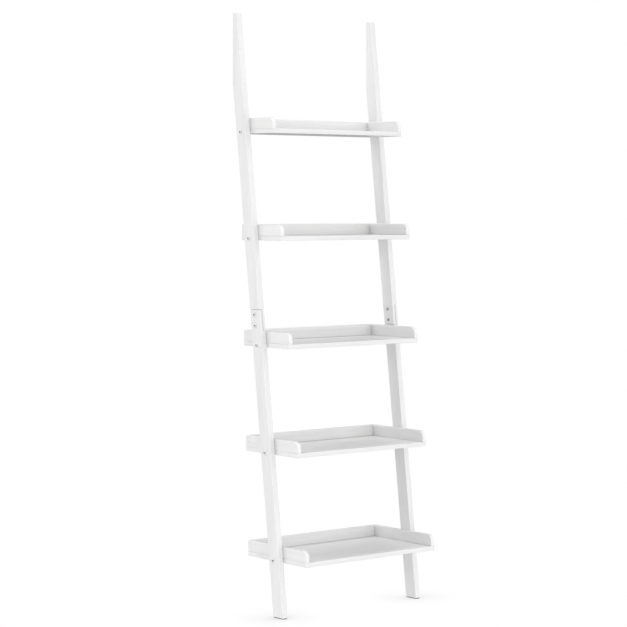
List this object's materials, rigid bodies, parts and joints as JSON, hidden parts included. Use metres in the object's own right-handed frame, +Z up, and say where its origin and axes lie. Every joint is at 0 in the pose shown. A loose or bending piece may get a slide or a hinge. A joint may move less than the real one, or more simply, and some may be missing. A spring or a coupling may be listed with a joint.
{
  "type": "ladder shelf",
  "caption": "White wooden ladder shelf that leans on a wall: two bolted side rails in two lengths carry open trays that get deeper towards the floor.",
  "frame": {"origin": "on the floor, midway between the two rails in X, and midway in Y between the wall plane and the front of the lowest tray", "axes": "+Z up, +Y towards the wall that the shelf leans on, +X to the right of a person who faces the shelf"},
  "size_m": [0.5846, 0.3476, 1.9],
  "materials": {
    "white_paint": "white satin paint, fine wood grain faintly showing",
    "bolt_steel": "satin grey steel",
    "zinc_plate": "bright zinc plate",
    "pad_rubber": "matt dark grey rubber"
  },
  "bodies": {
    "root": {"left_rail_lower": "white_paint", "left_rail_upper": "white_paint", "left_foot_pad": "pad_rubber", "left_splice_lower_bolt": "bolt_steel", "left_splice_lower_sleeve_nut": "zinc_plate", "left_splice_upper_bolt": "bolt_steel", "left_splice_upper_sleeve_nut": "zinc_plate", "right_rail_lower": "white_paint", "right_rail_upper": "white_paint", "right_foot_pad": "pad_rubber", "right_splice_lower_bolt": "bolt_steel", "right_splice_lower_sleeve_nut": "zinc_plate", "right_splice_upper_bolt": "bolt_steel", "right_splice_upper_sleeve_nut": "zinc_plate", "shelf_1_board": "white_paint", "shelf_1_back_panel": "white_paint", "shelf_1_left_panel": "white_paint", "shelf_1_right_panel": "white_paint", "shelf_1_left_bolt": "bolt_steel", "shelf_1_left_barrel_nut": "zinc_plate", "shelf_1_right_bolt": "bolt_steel", "shelf_1_right_barrel_nut": "zinc_plate", "shelf_2_board": "white_paint", "shelf_2_back_panel": "white_paint", "shelf_2_left_panel": "white_paint", "shelf_2_right_panel": "white_paint", "shelf_2_left_bolt": "bolt_steel", "shelf_2_left_barrel_nut": "zinc_plate", "shelf_2_right_bolt": "bolt_steel", "shelf_2_right_barrel_nut": "zinc_plate", "shelf_3_board": "white_paint", "shelf_3_back_panel": "white_paint", "shelf_3_left_panel": "white_paint", "shelf_3_right_panel": "white_paint", "shelf_3_left_bolt": "bolt_steel", "shelf_3_left_barrel_nut": "zinc_plate", "shelf_3_right_bolt": "bolt_steel", "shelf_3_right_barrel_nut": "zinc_plate", "shelf_4_board": "white_paint", "shelf_4_back_panel": "white_paint", "shelf_4_left_panel": "white_paint", "shelf_4_right_panel": "white_paint", "shelf_4_left_bolt": "bolt_steel", "shelf_4_left_barrel_nut": "zinc_plate", "shelf_4_right_bolt": "bolt_steel", "shelf_4_right_barrel_nut": "zinc_plate", "shelf_5_board": "white_paint", "shelf_5_back_panel": "white_paint", "shelf_5_left_panel": "white_paint", "shelf_5_right_panel": "white_paint", "shelf_5_left_bolt": "bolt_steel", "shelf_5_left_barrel_nut": "zinc_plate", "shelf_5_right_bolt": "bolt_steel", "shelf_5_right_barrel_nut": "zinc_plate"}
  },
  "joints": []
}
